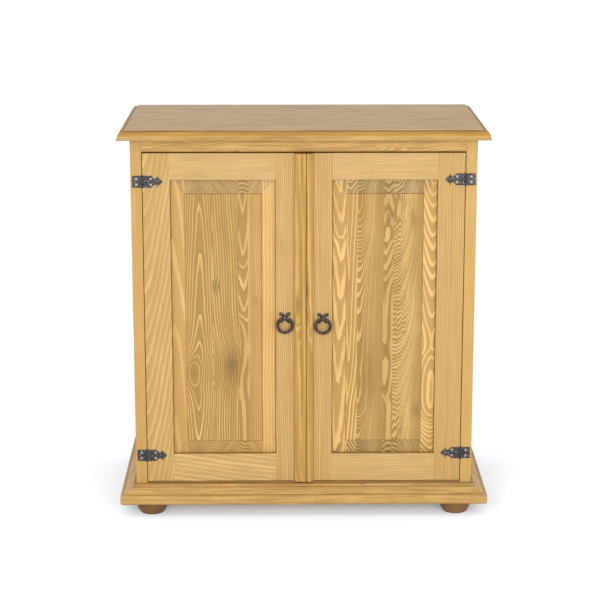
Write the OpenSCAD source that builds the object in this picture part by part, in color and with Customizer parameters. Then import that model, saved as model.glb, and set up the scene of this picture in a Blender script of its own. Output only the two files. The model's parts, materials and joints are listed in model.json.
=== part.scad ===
// Two-door cupboard in waxed pine with a moulded top, an ogee plinth, bun feet,
// raised-panel doors on flat arrow hinges, and hanging ring pulls.
// Millimetres. +Z up, the front faces -Y, the origin is on the floor at the middle of the footprint.

/* [Carcass] */
// Width across the outer faces of the two sides
carcass_w = 896; // [700:1:1200]
// Depth from the front edges of the sides to the back plane
carcass_d = 470; // [380:1:600]
// Thickness of each side
side_t = 29; // [22:1:40]
// Height of the door opening, from the floor board to the frieze
opening_h = 893; // [760:1:1100]
// Height of the frieze rail above the doors
frieze_h = 33; // [26:1:60]
// Thickness of the floor board inside the cupboard
floor_t = 26; // [18:1:34]
// Height of the rail across the back, under the top
rear_rail_h = 60; // [40:1:100]
// Thickness of that rear rail
rear_rail_t = 20; // [14:1:26]
// Length of the stub tenons on the frieze and the rear rail
stub_len = 10; // [6:1:14]
// Thickness of those stub tenons
stub_t = 9; // [6:1:12]
// Shoulder above and below the stub tenons
stub_shoulder = 5; // [3:1:8]
// Height of the batten that stops the doors, below the underside of the top
stop_h = 48; // [42:1:58]
// Thickness of the door stop batten
stop_t = 18; // [12:1:30]
// Leg length of the glue blocks under the top
block_leg = 26; // [18:1:34]
// Length of the glue blocks
block_len = 60; // [40:1:90]
// Distance of the glue blocks from the door stop and the rear rail
block_end = 40; // [10:1:70]

/* [Back] */
// Thickness of the back boards
back_t = 10; // [8:1:14]
// Width of the rebate in each side that takes the back boards
rebate_w = 12; // [8:1:16]
// Number of tongued boards in the back
back_n = 8; // [5:1:10]
// Length of the tongue on each back board
back_tongue = 6; // [4:1:8]
// Chamfer along the seams of the back boards
back_chamfer = 1.5; // [0.5:0.5:2]

/* [Top] */
// Thickness of the top
top_t = 26; // [25:1:36]
// Overhang of the top past the front and the sides
top_overhang = 32; // [24:1:50]
// Radius of the ovolo worked along the edge of the top
ovolo_r = 14.5; // [8:0.5:15]
// Quirk between the flat of the top and its ovolo
top_quirk = 3; // [1:0.5:4]
// Width of the small flat outside the quirk
top_flat = 3; // [1:0.5:5]
// Depth of the set-back under the ovolo
top_setback = 2; // [1:0.5:3]
// Rounding of the top's lower edge
top_round = 2; // [1:0.5:2.5]

/* [Base] */
// Thickness of the base board
base_t = 27; // [18:1:34]
// Overhang of the base board past the front and the sides
base_overhang = 41; // [36:1:60]
// Rounding of the base board's upper edge
base_round_top = 3; // [1:0.5:6]
// Rounding of the base board's lower edge
base_round_bottom = 8; // [4:0.5:9]
// Height of the plinth moulding
moulding_h = 23; // [20:1:25]
// Width of the plinth moulding at its foot
moulding_w = 32; // [28:1:35]
// Width of the plinth moulding's top bead
moulding_bead_w = 8.5; // [6:0.5:10]
// Height of the plinth moulding's top bead
moulding_bead_h = 7; // [5:0.5:9]
// Height of the square lip at the foot of the moulding
moulding_lip = 1.5; // [1:0.5:3]
// Hollow of the moulding's slope
moulding_hollow = 1.5; // [0.5:0.5:3]
// Depth of the crease under the bead
moulding_crease = 1; // [0.5:0.5:2]

/* [Feet] */
// Height of the feet below the base board
foot_h = 32; // [28:1:50]
// Radius of the bun feet
foot_r = 41; // [39:1:46]
// Height of the widest part of a foot above the floor
foot_mid_z = 24.5; // [20:0.5:30]
// Radius of the round that a foot's belly is turned to
foot_belly_r = 33; // [31:1:38]
// Distance of a front foot's centre behind the base board's front edge
foot_setback = 50; // [48:1:80]
// Distance of a foot's centre from the base board's end
foot_end = 82; // [60:1:110]
// Distance of a rear foot's centre from the back plane
foot_rear = 50; // [48:1:80]
// Radius of the dowel turned on each foot
dowel_r = 12; // [8:1:16]
// Length of that dowel
dowel_len = 16; // [10:1:18]

/* [Shelves] */
// Thickness of the shelves
shelf_t = 20; // [16:1:26]
// Clear height below the lower shelf
lower_clear_h = 310; // [200:1:340]
// Clear height between the shelves
middle_clear_h = 290; // [180:1:320]
// Distance of the shelves' front edges behind the doors
shelf_setback = 24; // [5:1:80]
// Section of the shelf battens
batten_w = 20; // [14:1:24]
// Distance of a batten's screws from its ends
batten_screw_end = 50; // [25:1:90]

/* [Doors] */
// Thickness of the door frames
door_t = 22; // [20:1:28]
// Gap beside the doors
door_gap = 2; // [1.5:0.1:4]
// Gap above the doors
top_gap = 3.5; // [2:0.1:5]
// Gap below the doors
bottom_gap = 2.5; // [1.5:0.1:4]
// Gap between the doors
meeting_gap = 1.2; // [1:0.1:3]
// Width of the hinge stiles
stile_w = 70; // [60:1:90]
// Width of the doors' top rails
top_rail_w = 69.5; // [55:0.5:100]
// Width of the doors' bottom rails
bottom_rail_w = 75.5; // [55:0.5:110]
// Width of each meeting stile that shows beside the beads
meeting_face_w = 48.5; // [44:0.5:70]
// Depth of the door front to the panel groove
groove_y = 9; // [7:0.5:10]
// Depth of the panel groove
groove_depth = 10; // [8:1:14]
// Thickness of the panel tongues and of the rail tenons
tongue_t = 6; // [4:0.5:8]
// Length of the rail tenons
tenon_len = 42; // [25:1:45]
// Shoulder above or below a rail tenon at the frame's outer edge
tenon_shoulder = 15; // [8:1:20]
// Room for a panel to move in its groove
panel_play = 1; // [0.5:0.5:2]
// Width of the bevel round a raised panel
bevel_w = 37; // [25:1:50]
// Depth of the panel's field below the door front
field_depth = 1; // [0.5:0.5:3]
// Height of the small step round the field
field_step = 1.6; // [0.5:0.1:3]

/* [Meeting beads] */
// Width across the beads of both doors
bead_w = 50; // [44:1:60]
// Width of the middle reed
reed_w = 12.5; // [10:0.5:16]
// Thickness of the beads at their outer edges
bead_edge_t = 5; // [4:0.5:8]
// Thickness of the beads in the grooves between the reeds
bead_groove_t = 10.5; // [8:0.5:12]
// Rise of the outer reeds above their sides
outer_rise = 4.5; // [2:0.5:6]
// Rise of the middle reed above its grooves
reed_rise = 5.5; // [2:0.5:6]
// Width of the flat in the bottom of a groove
groove_flat = 1; // [0.5:0.1:2]

/* [Hinges] */
// Thickness of the hinge leaves
leaf_t = 2; // [1.5:0.1:2.5]
// Height of the hinge leaves
leaf_h = 31; // [26:1:40]
// Width of the leaf on the cupboard, from the barrel's axis
frame_leaf_w = 26; // [20:1:27]
// Radius of the corners of that leaf
leaf_corner_r = 2; // [1:0.5:4]
// Width of the straight part of the leaf on the door
door_leaf_w = 24; // [20:1:27]
// Distance of the arrow's neck from the barrel's axis
neck_at = 32; // [30:0.5:34]
// Height of the arrow's neck
neck_h = 16; // [12:0.5:18]
// Distance of the arrow's barbs from the barrel's axis
barb_at = 40; // [38:0.5:42]
// Height across the barbs
barb_h = 30; // [24:0.2:34]
// Width of a barb at its root
barb_w = 5; // [4:0.5:6]
// Height of the arrow's head behind the barbs
head_h = 16; // [10:0.5:18]
// Distance of the arrow's point from the barrel's axis
arrow_tip = 53.5; // [50:0.5:58]
// Radius of the hinge barrel
barrel_r = 3.2; // [3:0.1:4.5]
// Radius of the hinge pin
pin_r = 1.5; // [1.2:0.1:2]
// Radial clearance of the pin in its knuckles
pin_clear = 0.06; // [0.03:0.01:0.09]
// Gap between knuckles
knuckle_gap = 0.3; // [0.2:0.1:0.6]
// Distance of the upper hinges' middles below the doors' tops
upper_hinge_drop = 71.5; // [50:0.5:110]
// Distance of the lower hinges' middles above the doors' bottoms
lower_hinge_rise = 74.5; // [50:0.5:110]
// Height by which the right hinges sit above the left ones, as fitted by hand
hinge_offset = 5; // [0:0.5:8]
// Distance of the screws from the hinge's middle, up and down
hinge_screw_z = 7.5; // [6:0.5:9]
// Distance of the screws in the cupboard from the barrel's axis
frame_screw_x = 14.5; // [12:0.5:18]
// Distance of the screws in the doors from the barrel's axis
door_screw_x = 22.5; // [12:0.5:26]

/* [Screws] */
// Radius of the screw shanks
screw_r = 1.5; // [1.2:0.1:2]
// Radius of the screw heads
screw_head_r = 3.2; // [2.6:0.1:3.6]
// Length of the hinge screws in the wood
screw_len = 14; // [8:1:18]

/* [Ring pulls] */
// Mean radius of the ring
ring_r = 19.2; // [16:0.1:22]
// Radius of the ring's bar
ring_bar_r = 4.2; // [2.6:0.1:4.4]
// Distance of each pull from the cupboard's middle
pull_x = 50; // [49:0.5:56]
// Height of the left pull's eye above the floor board
pull_z = 453.5; // [360:0.5:560]
// Height by which the right pull sits below the left one, as fitted by hand
pull_offset = 2.5; // [0:0.5:5]
// Radius of the eye's wire
eye_wire_r = 1.6; // [1.2:0.1:2]
// Clearance of the ring in its eye
eye_clear = 0.4; // [0.3:0.1:0.8]
// Thickness of the rosette
rosette_t = 2; // [1.5:0.1:3]
// Height of the rosette's middle above the eye
rosette_rise = 0; // [-2:0.5:4]
// Radius of the rosette's lobes
lobe_r = 6.2; // [5:0.1:7]
// Distance of the lobes' centres from the rosette's middle, across
lobe_x = 9.5; // [8:0.5:11]
// Distance of the lobes' centres from the rosette's middle, up and down
lobe_z = 8.5; // [8:0.5:11]
// Radius of the staple's shank
shank_r = 2; // [1.5:0.1:2.5]

/* [Catches] */
// Length of the magnetic catches
catch_len = 46; // [30:1:60]
// Height of the magnetic catches
catch_h = 13; // [10:1:16]
// Distance of the catches' middles from the leaf line
catch_x = 42; // [32:1:60]
// Thickness of the strike plates
strike_t = 1.2; // [0.8:0.1:2]

/* [Fits] */
// Clearance of glued joints
fit = 0.1; // [0.05:0.01:0.2]
// Clearance of pieces that only lie side by side
slack = 0.3; // [0.2:0.1:0.5]

/* [Hidden] */
$fn = 48;
cut = 1;

pine = [0.85, 0.68, 0.40];
pine_panel = [0.76, 0.60, 0.34];
pine_bead = [0.80, 0.62, 0.33];
pine_top = [0.75, 0.63, 0.46];
pine_raw = [0.87, 0.75, 0.54];
pine_foot = [0.62, 0.45, 0.26];
iron = [0.22, 0.21, 0.23];
ring_iron = [0.24, 0.18, 0.16];
screw_steel = [0.62, 0.60, 0.54];
catch_brown = [0.35, 0.22, 0.12];

// Planes and levels
overall_d = carcass_d + base_overhang;
front_y = base_overhang - overall_d / 2;
back_y = overall_d / 2;
back_front_y = back_y - back_t;
base_z = foot_h;
carcass_z = base_z + base_t;
floor_top_z = carcass_z + floor_t;
frieze_z = floor_top_z + opening_h;
top_z = frieze_z + frieze_h;
overall_h = top_z + top_t;
half_w = carcass_w / 2;
inner_x = half_w - side_t;
base_half_w = half_w + base_overhang;
top_half_w = half_w + top_overhang;
frieze_t = door_t + slack;
stop_y = front_y + frieze_t;
lower_shelf_z = floor_top_z + lower_clear_h;
upper_shelf_z = lower_shelf_z + shelf_t + middle_clear_h;
shelf_y = front_y + door_t + shelf_setback;

// Doors, all in the left door's frame; the right door is drawn mirrored
door_x = inner_x - door_gap;
door_z0 = floor_top_z + bottom_gap;
door_z1 = frieze_z - top_gap;
stile_x = door_x - stile_w;
panel_x = bead_w / 2 + meeting_face_w;
rail_z0 = door_z0 + bottom_rail_w;
rail_z1 = door_z1 - top_rail_w;
leaf_line = reed_w / 2;
ring_y = front_y - rosette_t - 2 * eye_wire_r - eye_clear - ring_bar_r;
eye_r = ring_bar_r + eye_clear + eye_wire_r;
hinge_x = inner_x - door_gap / 2;
hinge_y = front_y - barrel_r - slack;
knuckle_half = leaf_h / 6;
strike_z = top_z - stop_h - catch_h;

// Points of an arc
function arc(c, r, a0, a1, n) =
    [for (i = [0:n]) c + r * [cos(a0 + (a1 - a0) * i / n), sin(a0 + (a1 - a0) * i / n)]];

// Points of a shallow arc from p to q that rises by s on the left of the line
function bow(p, q, s, n) =
    let (chord = norm(q - p), u = (q - p) / chord, v = [-u[1], u[0]],
        r = (chord * chord / 4 + s * s) / (2 * abs(s)), way = sign(s),
        c = (p + q) / 2 + v * (s - way * r), middle = atan2(way * v[1], way * v[0]),
        half = asin(chord / 2 / r))
    arc(c, r, middle + way * half, middle - way * half, n);

// Meeting edge of a door in the left door's frame; s is -1 on the left and 1 on the right
function meeting_x(s) = -s * leaf_line - meeting_gap / 2;

function hinge_z(s, upper) =
    (upper ? door_z1 - upper_hinge_drop : door_z0 + lower_hinge_rise) + s * hinge_offset / 2;

function eye_z(s) = floor_top_z + pull_z - (s > 0 ? pull_offset : 0);

module on_side(s) {
    if (s > 0) mirror([1, 0, 0]) children();
    else children();
}

// A box from its two corners
module block(lo, hi) {
    translate(lo) cube(hi - lo);
}

// A profile of (y, z) points drawn along X
module along_x(x0, x1, profile) {
    translate([x0, 0, 0]) rotate([90, 0, 90]) linear_extrude(x1 - x0) polygon(profile);
}

// A profile of (x, z) points drawn along Y
module along_y(y0, y1, profile) {
    translate([0, y1, 0]) rotate([90, 0, 0]) linear_extrude(y1 - y0) polygon(profile);
}

// A profile of (x, y) points drawn along Z
module along_z(z0, z1, profile) {
    translate([0, 0, z0]) linear_extrude(z1 - z0) polygon(profile);
}

// A rod along Y, from the front plane backwards
module rod_y(x, z, r, y0, y1) {
    translate([x, y0, z]) rotate([-90, 0, 0]) cylinder(r = r, h = y1 - y0);
}

// Edge of the top, outwards and down from the flat, as (out, up) points
function top_edge() = concat(
    [[-top_setback - ovolo_r - top_flat, top_t], [-top_setback - ovolo_r - top_flat, top_t - top_quirk]],
    arc([-top_setback - ovolo_r, top_t - top_quirk - ovolo_r], ovolo_r, 90, 0, 10),
    bow([-top_setback, top_t - top_quirk - ovolo_r - 1], [0, top_round + 1], 1, 5),
    arc([-top_round, top_round], top_round, 0, -90, 4));

// Edge of the base board, outwards and down, as (out, up) points
function base_edge() = concat(
    arc([-base_round_top, base_t - base_round_top], base_round_top, 90, 0, 5),
    arc([-base_round_bottom, base_round_bottom], base_round_bottom, 0, -90, 8));

// A board with its front and both ends worked to one edge profile
module moulded_board(half, y0, y1, z, thick, edge) {
    n = len(edge) - 1;
    intersection() {
        along_x(-half, half,
            concat([for (p = edge) [y0 - p[0], z + p[1]]], [[y1, z], [y1, z + thick]]));
        along_y(y0, y1,
            concat([for (p = edge) [half + p[0], z + p[1]]],
                [for (i = [n:-1:0]) [-half - edge[i][0], z + edge[i][1]]]));
    }
}

module top_board() {
    color(pine_top)
        moulded_board(top_half_w, front_y - top_overhang, back_y, top_z, top_t, top_edge());
}

function foot_centres() = [
    [-base_half_w + foot_end, -overall_d / 2 + foot_setback],
    [base_half_w - foot_end, -overall_d / 2 + foot_setback],
    [-base_half_w + foot_end, back_y - foot_rear],
    [base_half_w - foot_end, back_y - foot_rear]];

module base_board() {
    color(pine) difference() {
        moulded_board(base_half_w, front_y - base_overhang, back_y, base_z, base_t, base_edge());
        for (p = foot_centres())
            translate([p[0], p[1], base_z - cut]) cylinder(r = dowel_r + fit, h = dowel_len + 2 * cut);
    }
}

// Cross-section of the plinth moulding, as (out, up) points
function moulding_profile() =
    let (bead_foot = moulding_h - moulding_bead_h, crease_x = moulding_bead_w - moulding_crease)
    concat(
        [[0, 0], [moulding_w, 0]],
        bow([moulding_w, moulding_lip], [moulding_bead_w, bead_foot - moulding_crease], moulding_hollow, 10),
        [[crease_x, bead_foot]],
        bow([crease_x, bead_foot + moulding_crease], [crease_x, moulding_h], -moulding_crease, 6),
        [[0, moulding_h]]);

module plinth_moulding_front() {
    reach = half_w + moulding_w;
    color(pine) intersection() {
        along_x(-reach, reach, [for (p = moulding_profile()) [front_y - p[0], carcass_z + p[1]]]);
        along_z(carcass_z, carcass_z + moulding_h,
            [[-half_w, front_y], [-reach, front_y - moulding_w], [reach, front_y - moulding_w],
                [half_w, front_y]]);
    }
}

module plinth_moulding_side(s) {
    color(pine) on_side(s) intersection() {
        along_y(front_y - moulding_w, back_y,
            [for (p = moulding_profile()) [-half_w - p[0], carcass_z + p[1]]]);
        along_z(carcass_z, carcass_z + moulding_h,
            [[-half_w, front_y], [-half_w, back_y], [-half_w - moulding_w, back_y],
                [-half_w - moulding_w, front_y - moulding_w]]);
    }
}

module plinth_moulding_left() {
    plinth_moulding_side(-1);
}

module plinth_moulding_right() {
    plinth_moulding_side(1);
}

// A turned bun foot, cut flat at the floor and at the base board, with a dowel into the board
module foot(i) {
    p = foot_centres()[i];
    color(pine_foot) translate([p[0], p[1], 0]) rotate_extrude()
        polygon(concat(
            [[0, 0]],
            arc([foot_r - foot_belly_r, foot_mid_z], foot_belly_r, -asin(foot_mid_z / foot_belly_r),
                asin((foot_h - foot_mid_z) / foot_belly_r), 20),
            [[dowel_r, foot_h], [dowel_r, foot_h + dowel_len], [0, foot_h + dowel_len]]));
}

module front_left_foot() {
    foot(0);
}

module front_right_foot() {
    foot(1);
}

module rear_left_foot() {
    foot(2);
}

module rear_right_foot() {
    foot(3);
}

// Centres of a batten's screws along Y
function batten_screws_y() = [shelf_y + batten_screw_end, back_front_y - batten_screw_end];

// A side in the left side's place, with its rebate, mortises and screw holes
module side_board(s) {
    stub_y = front_y + (frieze_t - stub_t) / 2;
    rear_y = back_front_y - (rear_rail_t + stub_t) / 2;
    color(pine) on_side(s) difference() {
        block([-half_w, front_y, carcass_z], [-inner_x, back_y, top_z]);
        block([-inner_x - rebate_w, back_front_y, carcass_z - cut],
            [-inner_x + cut, back_y + cut, top_z + cut]);
        for (m = [[stub_y, frieze_z], [rear_y, top_z - rear_rail_h]])
            block([-inner_x - stub_len - slack, m[0] - fit, m[1] + stub_shoulder - fit],
                [-inner_x + cut, m[0] + stub_t + fit, top_z - stub_shoulder + fit]);
        for (z = [hinge_z(s, true), hinge_z(s, false)])
            for (dz = [-hinge_screw_z, hinge_screw_z])
                rod_y(-hinge_x - frame_screw_x, z + dz, screw_r + fit, front_y - cut,
                    front_y + screw_len + slack);
        for (z = [lower_shelf_z, upper_shelf_z])
            for (y = batten_screws_y())
                translate([-inner_x - screw_len, y, z - batten_w / 2]) rotate([0, 90, 0])
                    cylinder(r = screw_r + fit, h = screw_len + cut);
    }
}

module left_side() {
    side_board(-1);
}

module right_side() {
    side_board(1);
}

module cabinet_floor() {
    color(pine)
        block([-inner_x + fit, front_y, carcass_z], [inner_x - fit, back_front_y, floor_top_z]);
}

// A rail between the sides, up to the top, with a stub tenon at each end
module stub_rail(y0, thick, z0) {
    stub_y = y0 + (thick - stub_t) / 2;
    block([-inner_x + fit, y0, z0], [inner_x - fit, y0 + thick, top_z]);
    block([-inner_x - stub_len, stub_y, z0 + stub_shoulder],
        [inner_x + stub_len, stub_y + stub_t, top_z - stub_shoulder]);
}

module frieze_rail() {
    color(pine) stub_rail(front_y, frieze_t, frieze_z);
}

module rear_top_rail() {
    color(pine_raw) stub_rail(back_front_y - rear_rail_t, rear_rail_t, top_z - rear_rail_h);
}

module door_stop() {
    color(pine_raw)
        block([-inner_x + fit, stop_y, top_z - stop_h], [inner_x - fit, stop_y + stop_t, top_z]);
}

// One tongued back board from x0 to x1; first and last boards are plain at the outside
module back_board(x0, x1, first, last) {
    mid_y = back_y - back_t / 2;
    tongue = back_t * 0.3;
    c = back_chamfer;
    groove = tongue + 2 * fit;
    right_edge = last
        ? [[x1, back_front_y], [x1, back_y]]
        : [[x1 - c, back_front_y], [x1, back_front_y + c], [x1, mid_y - tongue / 2],
            [x1 + back_tongue, mid_y - tongue / 2], [x1 + back_tongue, mid_y + tongue / 2],
            [x1, mid_y + tongue / 2], [x1, back_y - c], [x1 - c, back_y]];
    left_edge = first
        ? [[x0, back_y], [x0, back_front_y]]
        : [[x0 + c, back_y], [x0, back_y - c], [x0, mid_y + groove / 2],
            [x0 + back_tongue + slack, mid_y + groove / 2], [x0 + back_tongue + slack, mid_y - groove / 2],
            [x0, mid_y - groove / 2], [x0, back_front_y + c], [x0 + c, back_front_y]];
    along_z(carcass_z, top_z, concat(right_edge, left_edge));
}

module back_boards() {
    reach = inner_x + rebate_w - fit;
    pitch = 2 * reach / back_n;
    color(pine_raw) for (i = [0:back_n - 1])
        back_board(-reach + i * pitch + (i > 0 ? slack : 0), -reach + (i + 1) * pitch,
            i == 0, i == back_n - 1);
}

module shelf(z) {
    color(pine_raw)
        block([-inner_x + slack, shelf_y, z], [inner_x - slack, back_front_y - slack, z + shelf_t]);
}

module upper_shelf() {
    shelf(upper_shelf_z);
}

module lower_shelf() {
    shelf(lower_shelf_z);
}

// A batten under a shelf, with its front end cut back at a slope
module batten(s, z) {
    color(pine_raw) on_side(s) difference() {
        block([-inner_x, shelf_y, z - batten_w], [-inner_x + batten_w, back_front_y - slack, z]);
        translate([-inner_x - cut, shelf_y, z - batten_w * 1.5]) rotate([45, 0, 0])
            cube([batten_w + 2 * cut, batten_w, batten_w]);
        for (y = batten_screws_y())
            translate([-inner_x - cut, y, z - batten_w / 2]) rotate([0, 90, 0])
                cylinder(r = screw_r + fit, h = batten_w + 2 * cut);
    }
}

module upper_left_batten() {
    batten(-1, upper_shelf_z);
}

module upper_right_batten() {
    batten(1, upper_shelf_z);
}

module lower_left_batten() {
    batten(-1, lower_shelf_z);
}

module lower_right_batten() {
    batten(1, lower_shelf_z);
}

// A domed screw with its head at the origin's plane and its shank along +X
module screw(length) {
    rotate([0, 90, 0]) cylinder(r = screw_r, h = length);
    rotate([0, -90, 0]) rotate_extrude()
        polygon(concat([[0, 0], [screw_head_r, 0]],
            bow([screw_head_r, 0.4], [0, 1.2], -0.25, 5)));
}

module batten_screws() {
    color(screw_steel) for (s = [-1, 1]) on_side(s)
        for (z = [lower_shelf_z, upper_shelf_z])
            for (y = batten_screws_y())
                translate([-inner_x + batten_w, y, z - batten_w / 2])
                    rotate([0, 0, 180]) screw(batten_w + screw_len - slack);
}

// Triangular glue blocks in the corners between the sides and the top
module glue_blocks() {
    color(pine_raw) for (s = [-1, 1]) on_side(s)
        for (y = [stop_y + stop_t + block_end, back_front_y - rear_rail_t - block_end - block_len])
            along_y(y, y + block_len,
                [[-inner_x, top_z], [-inner_x, top_z - block_leg], [-inner_x + block_leg, top_z]]);
}

// A magnetic catch under the door stop: a shell with two pole plates towards the door
module catch(s) {
    x = meeting_x(s) - catch_x;
    face_y = front_y + door_t + strike_t + slack;
    color(catch_brown) on_side(s) union() {
        block([x - catch_len / 2, face_y + 2, strike_z],
            [x + catch_len / 2, stop_y + stop_t, strike_z + catch_h]);
        for (z = [strike_z + catch_h * 0.25, strike_z + catch_h * 0.6])
            block([x - catch_len * 0.32, face_y, z], [x + catch_len * 0.32, face_y + 3, z + 1.6]);
    }
}

module left_catch() {
    catch(-1);
}

module right_catch() {
    catch(1);
}

// Knuckles lie on the hinge's axis; the middle one belongs to the cupboard, the outer two to the door
module knuckle(z, z0, z1) {
    translate([-hinge_x, hinge_y, z + z0]) cylinder(r = barrel_r, h = z1 - z0);
}

module pin_bore(z) {
    translate([-hinge_x, hinge_y, z - leaf_h / 2 - cut])
        cylinder(r = pin_r + pin_clear, h = leaf_h + 2 * cut);
}

// The leaf on the cupboard's side, a plain plate with rounded corners
module frame_leaf(s, upper) {
    z = hinge_z(s, upper);
    corner = leaf_corner_r;
    clear_x = hinge_x + barrel_r + slack;
    color(iron) on_side(s) difference() {
        union() {
            difference() {
                translate([0, front_y, z]) rotate([90, 0, 0]) linear_extrude(leaf_t) union() {
                    translate([-hinge_x - frame_leaf_w, corner - leaf_h / 2])
                        square([frame_leaf_w, leaf_h - 2 * corner]);
                    translate([-hinge_x - frame_leaf_w + corner, -leaf_h / 2])
                        square([frame_leaf_w - corner, leaf_h]);
                    for (dz = [-1, 1])
                        translate([-hinge_x - frame_leaf_w + corner, dz * (leaf_h / 2 - corner)])
                            circle(r = corner);
                }
                for (dz = [-1, 1])
                    translate([-clear_x, front_y - leaf_t - cut,
                        z + (dz > 0 ? knuckle_half : -leaf_h / 2 - cut)])
                        cube([clear_x - hinge_x + cut, leaf_t + 2 * cut, leaf_h / 2 - knuckle_half + cut]);
            }
            knuckle(z, -knuckle_half, knuckle_half);
        }
        pin_bore(z);
        for (dz = [-hinge_screw_z, hinge_screw_z])
            rod_y(-hinge_x - frame_screw_x, z + dz, screw_r + fit, front_y - leaf_t - cut, front_y + cut);
    }
}

module upper_left_frame_leaf() {
    frame_leaf(-1, true);
}

module upper_right_frame_leaf() {
    frame_leaf(1, true);
}

module lower_left_frame_leaf() {
    frame_leaf(-1, false);
}

module lower_right_frame_leaf() {
    frame_leaf(1, false);
}

// Outline of the leaf on the door, from the barrel's axis out to the arrow's point
module arrow_outline() {
    upper = [[door_leaf_w, leaf_h / 2], [neck_at, neck_h / 2], [barb_at - barb_w / 2, neck_h / 2],
        [barb_at, barb_h / 2], [barb_at + barb_w / 2, head_h / 2 + 1], [barb_at + barb_w, head_h / 2]];
    n = len(upper) - 1;
    polygon(concat([[0, -leaf_h / 2], [0, leaf_h / 2]], upper, [[arrow_tip, 0]],
        [for (i = [n:-1:0]) [upper[i][0], -upper[i][1]]]));
}

module door_leaf(s, upper) {
    z = hinge_z(s, upper);
    clear_x = barrel_r + slack;
    color(iron) on_side(s) difference() {
        union() {
            difference() {
                translate([-hinge_x, front_y, z]) rotate([90, 0, 0]) linear_extrude(leaf_t) arrow_outline();
                translate([-hinge_x - cut, front_y - leaf_t - cut, z - knuckle_half - knuckle_gap])
                    cube([clear_x + cut, leaf_t + 2 * cut, 2 * (knuckle_half + knuckle_gap)]);
            }
            knuckle(z, knuckle_half + knuckle_gap, leaf_h / 2);
            knuckle(z, -leaf_h / 2, -knuckle_half - knuckle_gap);
        }
        pin_bore(z);
        for (dz = [-hinge_screw_z, hinge_screw_z])
            rod_y(-hinge_x + door_screw_x, z + dz, screw_r + fit, front_y - leaf_t - cut, front_y + cut);
    }
}

module left_upper_door_leaf() {
    door_leaf(-1, true);
}

module left_lower_door_leaf() {
    door_leaf(-1, false);
}

module right_upper_door_leaf() {
    door_leaf(1, true);
}

module right_lower_door_leaf() {
    door_leaf(1, false);
}

module hinge_pins() {
    head = 0.8;
    color(iron) for (s = [-1, 1]) on_side(s)
        for (upper = [true, false])
            translate([-hinge_x, hinge_y, hinge_z(s, upper)]) {
                translate([0, 0, -leaf_h / 2 - slack]) cylinder(r = pin_r, h = leaf_h + 2 * slack);
                for (dz = [-leaf_h / 2 - slack - head, leaf_h / 2 + slack])
                    translate([0, 0, dz]) cylinder(r = barrel_r - 0.8, h = head);
            }
}

// The screws of one column of a hinge leaf
module leaf_screws(s, x) {
    for (upper = [true, false])
        for (dz = [-hinge_screw_z, hinge_screw_z])
            translate([x, front_y - leaf_t, hinge_z(s, upper) + dz]) rotate([0, 0, 90])
                screw(leaf_t + screw_len);
}

module frame_leaf_screws() {
    color(screw_steel) for (s = [-1, 1]) on_side(s) leaf_screws(s, -hinge_x - frame_screw_x);
}

module left_door_leaf_screws() {
    color(screw_steel) leaf_screws(-1, -hinge_x + door_screw_x);
}

module right_door_leaf_screws() {
    color(screw_steel) on_side(1) leaf_screws(1, -hinge_x + door_screw_x);
}

// The cut that a panel's edge and a rail's tenons need in a stile, from its inner edge towards dir
module stile_cuts(edge_x, dir) {
    y0 = front_y + groove_y - fit;
    y1 = front_y + groove_y + tongue_t + fit;
    groove_x = edge_x + dir * groove_depth;
    mortise_x = edge_x + dir * (tenon_len + slack);
    open_x = edge_x - dir * cut;
    block([min(open_x, groove_x), y0, rail_z0 - groove_depth],
        [max(open_x, groove_x), y1, rail_z1 + groove_depth]);
    for (z = [[door_z0 + tenon_shoulder, rail_z0 - groove_depth],
            [rail_z1 + groove_depth, door_z1 - tenon_shoulder]])
        block([min(open_x, mortise_x), y0, z[0] - fit], [max(open_x, mortise_x), y1, z[1] + fit]);
}

module hinge_stile(s) {
    color(pine) on_side(s) difference() {
        block([-door_x, front_y, door_z0], [-stile_x, front_y + door_t, door_z1]);
        stile_cuts(-stile_x, -1);
        for (upper = [true, false])
            for (dz = [-hinge_screw_z, hinge_screw_z])
                rod_y(-hinge_x + door_screw_x, hinge_z(s, upper) + dz, screw_r + fit,
                    front_y - cut, front_y + screw_len + slack);
    }
}

module left_hinge_stile() {
    hinge_stile(-1);
}

module right_hinge_stile() {
    hinge_stile(1);
}

module meeting_stile(s) {
    color(pine) on_side(s) difference() {
        block([-panel_x, front_y, door_z0], [meeting_x(s), front_y + door_t, door_z1]);
        stile_cuts(-panel_x, 1);
        rod_y(-pull_x, eye_z(s), shank_r + fit, front_y - cut, front_y + door_t + cut);
    }
}

module left_meeting_stile() {
    meeting_stile(-1);
}

module right_meeting_stile() {
    meeting_stile(1);
}

// A door rail; dir is 1 where the panel is above it and -1 where it is below
module door_rail(s, z0, z1, dir) {
    y0 = front_y + groove_y;
    groove_z = dir > 0 ? [z1 - groove_depth, z1 + cut] : [z0 - cut, z0 + groove_depth];
    tenon_z = dir > 0
        ? [z0 + tenon_shoulder, z1 - groove_depth]
        : [z0 + groove_depth, z1 - tenon_shoulder];
    color(pine) on_side(s) {
        difference() {
            block([-stile_x, front_y, z0], [-panel_x, front_y + door_t, z1]);
            block([-stile_x - cut, y0 - fit, groove_z[0]],
                [-panel_x + cut, y0 + tongue_t + fit, groove_z[1]]);
        }
        block([-stile_x - tenon_len, y0, tenon_z[0]], [-panel_x + tenon_len, y0 + tongue_t, tenon_z[1]]);
    }
}

module left_door_top_rail() {
    door_rail(-1, rail_z1, door_z1, -1);
}

module left_door_bottom_rail() {
    door_rail(-1, door_z0, rail_z0, 1);
}

module right_door_top_rail() {
    door_rail(1, rail_z1, door_z1, -1);
}

module right_door_bottom_rail() {
    door_rail(1, door_z0, rail_z0, 1);
}

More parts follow.
